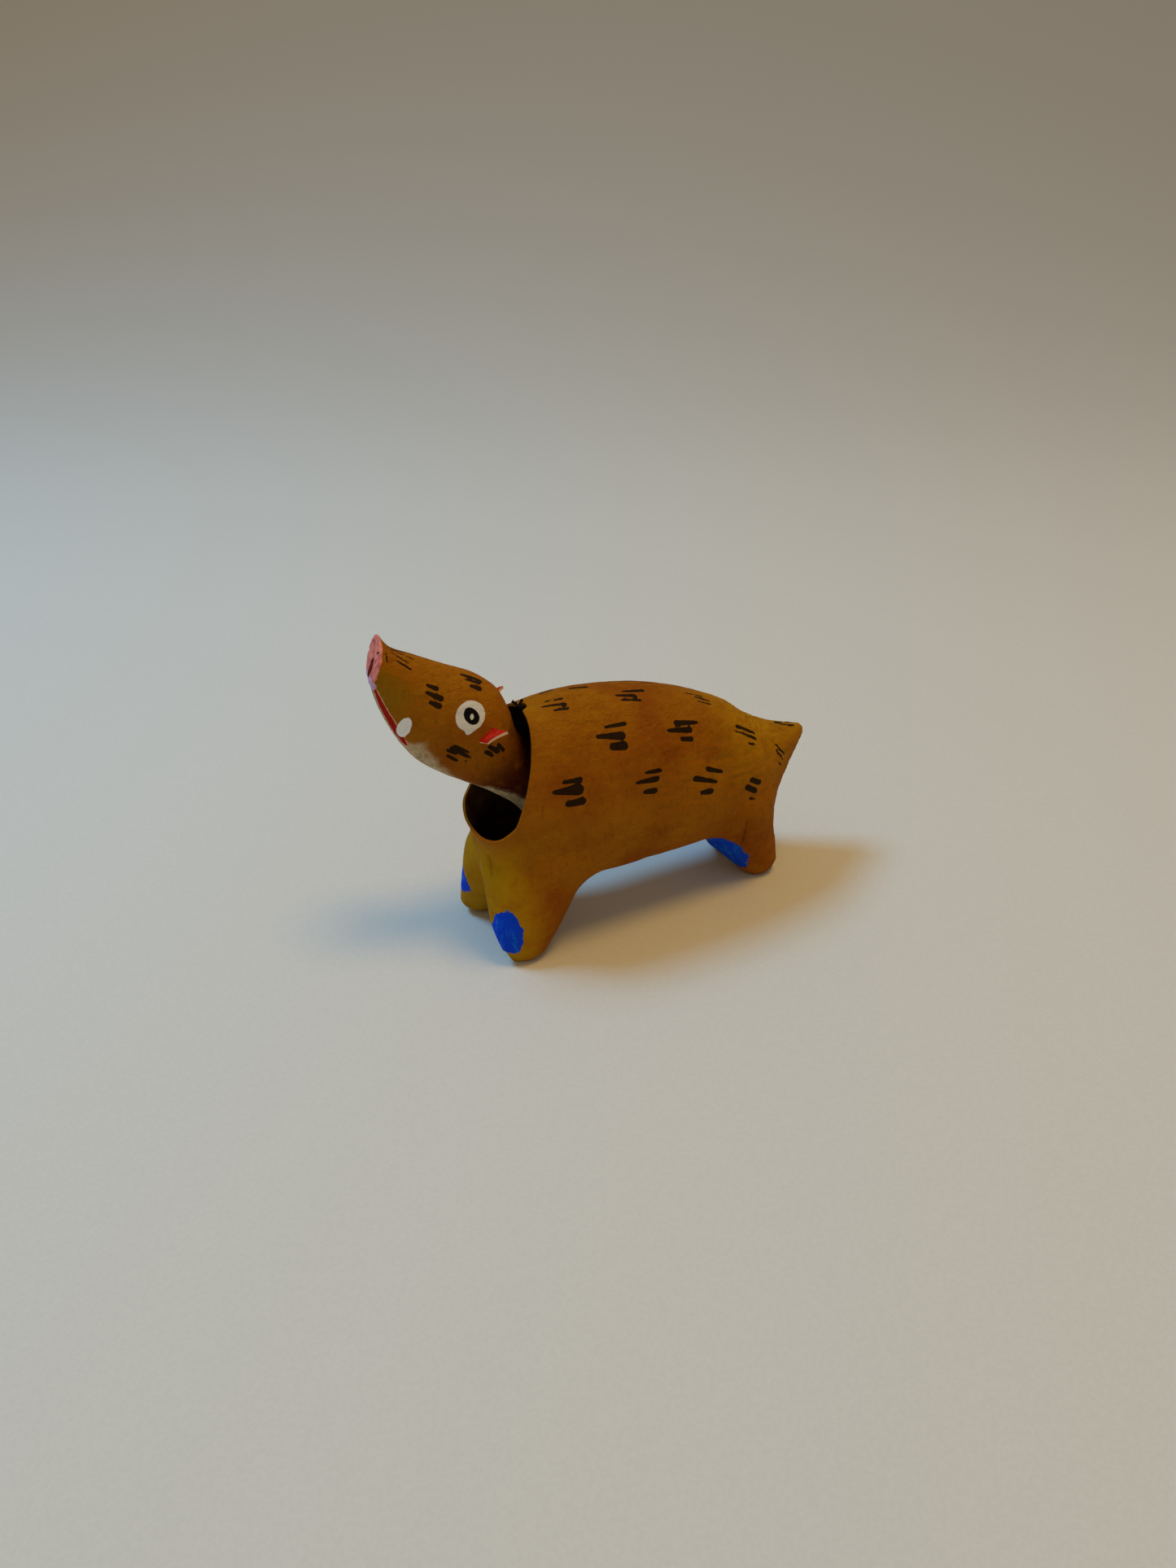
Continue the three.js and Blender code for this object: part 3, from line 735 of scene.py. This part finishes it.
def thread_tree(paint):
    """Sweeps two twisted plies along each line of the mesh it is given."""
    tree = bpy.data.node_groups.new("two_ply_thread", "GeometryNodeTree")
    tree.interface.new_socket("Geometry", in_out="INPUT", socket_type="NodeSocketGeometry")
    tree.interface.new_socket("Ply radius", in_out="INPUT", socket_type="NodeSocketFloat")
    tree.interface.new_socket("Twist per length", in_out="INPUT", socket_type="NodeSocketFloat")
    tree.interface.new_socket("Geometry", in_out="OUTPUT", socket_type="NodeSocketGeometry")

    def node(kind, **settings):
        made = tree.nodes.new("GeometryNode" + kind)
        for name, value in settings.items():
            setattr(made, name, value)
        return made

    def link(out, socket):
        tree.links.new(out, socket)

    start = tree.nodes.new("NodeGroupInput")
    curve = node("MeshToCurve")
    link(start.outputs["Geometry"], curve.inputs["Mesh"])
    rounded = node("CurveSplineType", spline_type="CATMULL_ROM")
    link(curve.outputs["Curve"], rounded.inputs["Curve"])
    fine = node("SubdivideCurve")
    fine.inputs["Cuts"].default_value = 5
    link(rounded.outputs["Curve"], fine.inputs["Curve"])

    travelled = node("SplineParameter")
    turn = tree.nodes.new("ShaderNodeMath")
    turn.operation = "MULTIPLY"
    link(travelled.outputs["Length"], turn.inputs[0])
    link(start.outputs["Twist per length"], turn.inputs[1])
    twisted = node("SetCurveTilt")
    link(fine.outputs["Curve"], twisted.inputs["Curve"])
    link(turn.outputs[0], twisted.inputs["Tilt"])

    plies = node("JoinGeometry")
    for side in (1, -1):
        ring = node("CurvePrimitiveCircle")
        ring.inputs["Resolution"].default_value = 8
        link(start.outputs["Ply radius"], ring.inputs["Radius"])
        aside = tree.nodes.new("ShaderNodeMath")
        aside.operation = "MULTIPLY"
        aside.inputs[1].default_value = 0.85 * side
        link(start.outputs["Ply radius"], aside.inputs[0])
        place = tree.nodes.new("ShaderNodeCombineXYZ")
        link(aside.outputs[0], place.inputs["X"])
        moved = node("Transform")
        link(ring.outputs["Curve"], moved.inputs["Geometry"])
        link(place.outputs[0], moved.inputs["Translation"])
        link(moved.outputs["Geometry"], plies.inputs["Geometry"])
    sweep = node("CurveToMesh")
    sweep.inputs["Fill Caps"].default_value = True
    link(twisted.outputs["Curve"], sweep.inputs["Curve"])
    link(plies.outputs["Geometry"], sweep.inputs["Profile Curve"])
    whole = node("RealizeInstances")
    link(sweep.outputs["Mesh"], whole.inputs["Geometry"])
    painted = node("SetMaterial")
    painted.inputs["Material"].default_value = paint
    link(whole.outputs["Geometry"], painted.inputs["Geometry"])
    end = tree.nodes.new("NodeGroupOutput")
    link(painted.outputs["Geometry"], end.inputs["Geometry"])
    return tree


def make_thread(paint):
    points, edges = [], []
    for path in THREAD_PATHS.values():
        edges += [(len(points) + i, len(points) + i + 1) for i in range(len(path) - 1)]
        points += [(PIVOT + Vector(place)) * MM for place in path]
    mesh = bpy.data.meshes.new("tied_thread")
    mesh.from_pydata(points, edges, [])
    obj = bpy.data.objects.new("tied_thread", mesh)
    bpy.context.scene.collection.objects.link(obj)
    tree = thread_tree(paint)
    sweep = obj.modifiers.new("sweep", "NODES")
    sweep.node_group = tree
    sizes = {"Ply radius": PLY_RADIUS * MM, "Twist per length": 2 * math.pi / (TWIST_PITCH * MM)}
    for socket in tree.interface.items_tree:
        if socket.name in sizes:
            sweep[socket.identifier] = sizes[socket.name]
    apply_modifiers(obj)
    obj.data.polygons.foreach_set("use_smooth", [True] * len(obj.data.polygons))
    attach(obj, "hanger")
    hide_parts("hanging_thread")


# ------------------------------------------------------------------ finishes

def tint(red, green, blue):
    """A colour given in display values from 0 to 255."""
    def linear(value):
        value /= 255
        return value / 12.92 if value <= 0.04045 else ((value + 0.055) / 1.055) ** 2.4
    return (linear(red), linear(green), linear(blue), 1)


class Finish:
    """A material built up from nodes, in the order a painter lays it on."""

    def __init__(self, name, roughness=0.8, gloss=0.08):
        self.material = bpy.data.materials.new(name)
        self.material.use_nodes = True
        self.tree = self.material.node_tree
        self.shader = self.tree.nodes["Principled BSDF"]
        self.shader.inputs["Roughness"].default_value = roughness
        self.shader.inputs["Specular IOR Level"].default_value = gloss
        self.place = self.tree.nodes.new("ShaderNodeTexCoord").outputs["Object"]

    def feed(self, socket, value):
        if isinstance(value, bpy.types.NodeSocket):
            self.tree.links.new(value, socket)
        else:
            socket.default_value = value

    def noise(self, size, detail=3, rough=0.55, stretch=(1, 1, 1), seed=0):
        """Noise from 0 to 1 with features about size millimetres wide."""
        mapping = self.tree.nodes.new("ShaderNodeMapping")
        mapping.inputs["Location"].default_value = (seed, seed * 0.7, seed * 1.3)
        mapping.inputs["Scale"].default_value = [1 / (s * size * MM) for s in stretch]
        self.feed(mapping.inputs["Vector"], self.place)
        node = self.tree.nodes.new("ShaderNodeTexNoise")
        node.inputs["Scale"].default_value = 1
        node.inputs["Detail"].default_value = detail
        node.inputs["Roughness"].default_value = rough
        self.feed(node.inputs["Vector"], mapping.outputs["Vector"])
        return node.outputs["Fac"]

    def layer(self, name):
        node = self.tree.nodes.new("ShaderNodeAttribute")
        node.attribute_name = name
        return node.outputs["Fac"]

    def math(self, operation, a, b=0.0):
        node = self.tree.nodes.new("ShaderNodeMath")
        node.operation = operation
        self.feed(node.inputs[0], a)
        self.feed(node.inputs[1], b)
        return node.outputs[0]

    def band(self, value, low, high, top=1.0):
        """0 below low, top above high, smooth between; low may be the greater."""
        node = self.tree.nodes.new("ShaderNodeMapRange")
        node.interpolation_type = "SMOOTHSTEP"
        for socket, number in (("From Min", low), ("From Max", high), ("To Min", 0.0), ("To Max", top)):
            node.inputs[socket].default_value = number
        self.feed(node.inputs["Value"], value)
        return node.outputs["Result"]

    def mix(self, share, below, above, mode="MIX"):
        node = self.tree.nodes.new("ShaderNodeMix")
        node.data_type = "RGBA"
        node.blend_type = mode
        self.feed(node.inputs["Factor"], share)
        self.feed(node.inputs[6], below)
        self.feed(node.inputs[7], above)
        return node.outputs[2]

    def brushed(self, colour, name, paint, ragged=0.25, soft=0.08, grain=0.9, cover=1.0):
        """Lays paint where the named layer is negative, with a ragged edge."""
        wander = self.math("SUBTRACT", self.noise(grain, 4, 0.6, seed=len(name)), 0.5)
        edge = self.math("MULTIPLY", wander, ragged * 2)
        off = self.math("ADD", self.layer(name), edge)
        return self.mix(self.band(off, soft, -soft, cover), colour, paint)

    def finish(self, colour, heights):
        """Connects the colour and a bump for each (height, depth in mm, strength)."""
        self.feed(self.shader.inputs["Base Color"], colour)
        normal = None
        for height, depth, strength in heights:
            bump = self.tree.nodes.new("ShaderNodeBump")
            bump.inputs["Strength"].default_value = strength
            bump.inputs["Distance"].default_value = depth * MM
            self.feed(bump.inputs["Height"], height)
            if normal is not None:
                self.feed(bump.inputs["Normal"], normal)
            normal = bump.outputs["Normal"]
        self.feed(self.shader.inputs["Normal"], normal)
        return self.material


OCHRE = tint(164, 100, 2)
BROWN = tint(142, 72, 2)
UMBER = tint(88, 34, 3)
YELLOW = tint(184, 134, 2)
# painted shade on the neck inside the body
NECK_SHADE = tint(62, 16, 3)
INK = tint(18, 14, 6)
BLUE = tint(4, 68, 230)
LIGHT_BLUE = tint(26, 124, 244)
WHITE = tint(230, 229, 226)
RED = tint(172, 20, 6)
PINK = tint(248, 144, 126)
LAVENDER = tint(214, 170, 200)
CREAM = tint(240, 196, 150)
CHALK = tint(212, 190, 150)
GREY = tint(158, 134, 92)
OLIVE = tint(150, 112, 4)
# painted shade along the pale edge on the neck
NECK_EDGE_SHADE = tint(90, 14, 8)
GUM = tint(120, 24, 22)
NOSTRIL = tint(70, 8, 8)
# painted shade in the body's creases
CREASE_SHADE = tint(52, 22, 2)
TUSK_WHITE = tint(252, 252, 252)


def wash(finish):
    """The ochre wash over white-primed paper, with brown pooled in it and painted shade along thin fold
    lines.
    """
    colour = finish.mix(finish.band(finish.noise(17, 3, seed=2), 0.4, 0.68, 0.8), OCHRE, BROWN)
    pooled = finish.band(finish.noise(4.5, 5, 0.65, seed=5), 0.5, 0.8, 0.25)
    colour = finish.mix(pooled, colour, UMBER)
    streaks = finish.band(finish.noise(0.9, 5, 0.7, stretch=(1, 1, 4), seed=9), 0.5, 0.8, 0.5)
    colour = finish.mix(streaks, colour, UMBER)
    # Painted shade: thin umber lines along paper folds, in patches.
    across_fold = finish.math("SUBTRACT", finish.noise(4.2, 5, 0.6, stretch=(2.4, 1, 1), seed=21), 0.5)
    fold_shade = finish.band(finish.math("ABSOLUTE", across_fold), 0.024, 0.002, 0.2)
    fold_shade = finish.math("MULTIPLY", fold_shade, finish.band(finish.noise(9, 2, seed=22), 0.45, 0.6))
    colour = finish.mix(fold_shade, colour, UMBER)
    thin = finish.band(finish.noise(1.6, 4, 0.6, stretch=(3, 1, 1), seed=4), 0.5, 0.8, 0.3)
    return finish.mix(thin, colour, YELLOW)


def paper_heights(finish):
    return [
        (finish.noise(3.0, 6, 0.7, stretch=(1.8, 1, 1), seed=3), 1.1, 0.9),
        (finish.noise(0.55, 5, 0.65, stretch=(1, 1, 3), seed=6), 0.26, 0.9),
    ]


def body_paint():
    f = Finish("ochre_washed_paper")
    colour = wash(f)
    yellow = f.math("MULTIPLY", f.layer("yellow"), f.band(f.noise(5, 4, seed=7), 0.1, 0.6))
    colour = f.mix(yellow, colour, YELLOW)
    # Painted shade: the creases are darkened to a deep brown.
    colour = f.brushed(colour, "crease", CREASE_SHADE, ragged=0.3, soft=0.35, cover=0.85)
    colour = f.brushed(colour, "dash", INK, ragged=0.15, soft=0.07, cover=0.95)
    blue = f.mix(f.band(f.noise(1.6, 5, 0.65, stretch=(1, 1, 2), seed=12), 0.48, 0.7, 0.8), BLUE, LIGHT_BLUE)
    colour = f.brushed(colour, "hoof", blue, ragged=1.1, soft=0.08, grain=2.0)
    return f.finish(colour, paper_heights(f))


# The inside of the hollow body is painted dark brown: painted shade of the cavity over the paper's own
# brown.
def inner_paint():
    f = Finish("inner_paper_painted_shade", roughness=0.85)
    colour = f.mix(f.band(f.noise(3, 4, seed=1), 0.4, 0.7), tint(66, 44, 20), tint(96, 66, 30))
    return f.finish(colour, paper_heights(f))


def face_paint():
    f = Finish("painted_face_paper")
    colour = wash(f)
    # Painted shade: the neck darkens to a deep red, almost black, where it sits inside the body's opening.
    neck = f.math("MULTIPLY", f.layer("neck"), f.band(f.noise(4, 4, seed=3), 0.1, 0.5, 0.95))
    colour = f.mix(neck, colour, NECK_SHADE)
    olive = f.math("MULTIPLY", f.layer("olive"), f.band(f.noise(3, 4, seed=13), 0.3, 0.55, 0.7))
    colour = f.mix(olive, colour, OLIVE)
    pale = f.mix(f.band(f.noise(1.3, 5, 0.7, seed=14), 0.4, 0.7), CHALK, GREY)
    colour = f.brushed(colour, "pale", pale, ragged=2.0, soft=1.3, grain=2.2, cover=0.9)
    # Painted shade: a dark red band along the edge of the pale underside, only where the neck is shaded.
    wander = f.math("MULTIPLY", f.noise(0.9, 4, seed=16), 1.4)
    neck_edge_shade = f.math("ADD", f.math("ABSOLUTE", f.layer("pale")), wander)
    neck_edge_shade = f.math("MULTIPLY", f.band(neck_edge_shade, 1.1, 0.7, 0.75), f.layer("neck"))
    colour = f.mix(neck_edge_shade, colour, NECK_EDGE_SHADE)
    # Painted shade: the head's creases are darkened with umber.
    colour = f.brushed(colour, "crease", UMBER, ragged=0.3, soft=0.4, cover=0.7)
    colour = f.brushed(colour, "mouth_edge", CREAM, ragged=0.35, soft=0.1, cover=0.85)
    colour = f.brushed(colour, "mouth", RED, ragged=0.3, soft=0.08)
    colour = f.brushed(colour, "dash", INK, ragged=0.1, soft=0.06, cover=0.94)
    colour = f.brushed(colour, "eye", WHITE, ragged=0.22, soft=0.05, grain=1.4)
    colour = f.brushed(colour, "pupil", INK, ragged=0.12, soft=0.05)
    colour = f.brushed(colour, "glint", WHITE, ragged=0.05, soft=0.04)
    colour = f.brushed(colour, "tusk", TUSK_WHITE, ragged=0.15, soft=0.05)
    pink = f.mix(f.band(f.noise(1.2, 4, seed=15), 0.4, 0.7), PINK, tint(206, 104, 104))
    colour = f.brushed(colour, "nose", pink, ragged=0.3, soft=0.06, grain=1.2)
    colour = f.mix(f.band(f.layer("lip"), 0.1, -0.1), colour, LAVENDER)
    colour = f.brushed(colour, "gum", GUM, ragged=0.3, soft=0.1)
    colour = f.brushed(colour, "nostril", NOSTRIL, ragged=0.15, soft=0.06)
    return f.finish(colour, paper_heights(f))


def ear_paint():
    f = Finish("red_painted_card", roughness=0.7)
    colour = f.mix(f.band(f.noise(1.2, 4, seed=3), 0.4, 0.7), RED, tint(196, 40, 10))
    return f.finish(colour, [(f.noise(0.4, 4, seed=2), 0.06, 0.6)])


def card_edge():
    f = Finish("cut_card_edge", roughness=0.85)
    colour = f.mix(f.band(f.noise(0.5, 4, seed=3), 0.4, 0.7), CREAM, tint(220, 180, 150))
    return f.finish(colour, [(f.noise(0.2, 4, stretch=(1, 1, 3), seed=2), 0.05, 0.7)])


def thread_black():
    f = Finish("black_cotton", roughness=0.9)
    colour = f.mix(f.band(f.noise(0.3, 3, seed=3), 0.4, 0.7), tint(12, 9, 8), tint(28, 23, 20))
    return f.finish(colour, [(f.noise(0.12, 3, seed=2), 0.05, 0.8)])


# ------------------------------------------------------------------ the boar

make_body(body_paint(), inner_paint())
make_head(face_paint())
red_card, cut_card = ear_paint(), card_edge()
make_ear("left_card_ear", "left_ear", red_card, cut_card, **LEFT_EAR)
make_ear("right_card_ear", "right_ear", red_card, cut_card, **RIGHT_EAR, mirror=-1)
make_thread(thread_black())

# ------------------------------------------------------------------ floor, light and camera

def make_floor():
    """A sheet of pale paper that lies flat under the boar and curves up behind it."""
    reach, bend, half = 0.45, 1.7, 6.0
    profile = [(-6.0, 0)] + [(0.09 * i, 0) for i in range(5)]
    profile += [(reach + bend * math.sin(a), bend - bend * math.cos(a))
                for a in (math.radians(2.5 * i) for i in range(37))]
    across = Vector((0.880, -0.474, 0))
    away = Vector((-across.y, across.x, 0))
    points = [(away * d + across * w + Vector((0, 0, h))) / MM for d, h in profile for w in (-half, half)]
    faces = [(2 * i, 2 * i + 1, 2 * i + 3, 2 * i + 2) for i in range(len(profile) - 1)]
    f = Finish("pale_table_paper", roughness=0.85)
    colour = f.mix(f.band(f.noise(0.7, 4, seed=1), 0.3, 0.7), tint(219, 219, 218), tint(215, 215, 214))
    paper = f.finish(colour, [(f.noise(0.5, 3, seed=4), 0.02, 0.15)])
    mesh_object("pale_table", points, faces, paper)


def area_light(name, place, size, watts, colour):
    light = bpy.data.lights.new(name, "AREA")
    light.shape = "DISK"
    light.size = size
    light.energy = watts
    light.color = colour
    obj = bpy.data.objects.new(name, light)
    obj.location = place
    obj.rotation_euler = (-Vector(place)).to_track_quat("-Z", "Y").to_euler()
    bpy.context.scene.collection.objects.link(obj)


CAMERA_PLACE = Vector((-107.7, -188.0, 157.8))
CAMERA_LENS = 26.15


def make_camera():
    azimuth, elevation = math.radians(-28.3), math.radians(30.4)
    back = Vector((math.sin(azimuth) * math.cos(elevation), -math.cos(azimuth) * math.cos(elevation),
                   math.sin(elevation)))
    camera = bpy.data.cameras.new("camera")
    camera.lens = CAMERA_LENS
    camera.clip_start = 0.01
    obj = bpy.data.objects.new("camera", camera)
    obj.location = CAMERA_PLACE * MM
    obj.rotation_mode = "QUATERNION"
    obj.rotation_quaternion = (-back).to_track_quat("-Z", "Y")
    bpy.context.scene.collection.objects.link(obj)
    bpy.context.scene.camera = obj


make_floor()
area_light("cool_window", (-0.38, 0.30, 0.80), 0.28, 4.1, (0.27, 0.65, 1.0))
area_light("warm_lamp", (0.13, -0.15, 0.88), 0.30, 2.5, (1.0, 0.60, 0.14))
world = bpy.data.worlds.new("studio")
bpy.context.scene.world = world
world.use_nodes = True
world.node_tree.nodes["Background"].inputs["Color"].default_value = (0.29, 0.235, 0.165, 1)
world.node_tree.nodes["Background"].inputs["Strength"].default_value = 1.0
bpy.context.scene.view_settings.view_transform = "Standard"
make_camera()
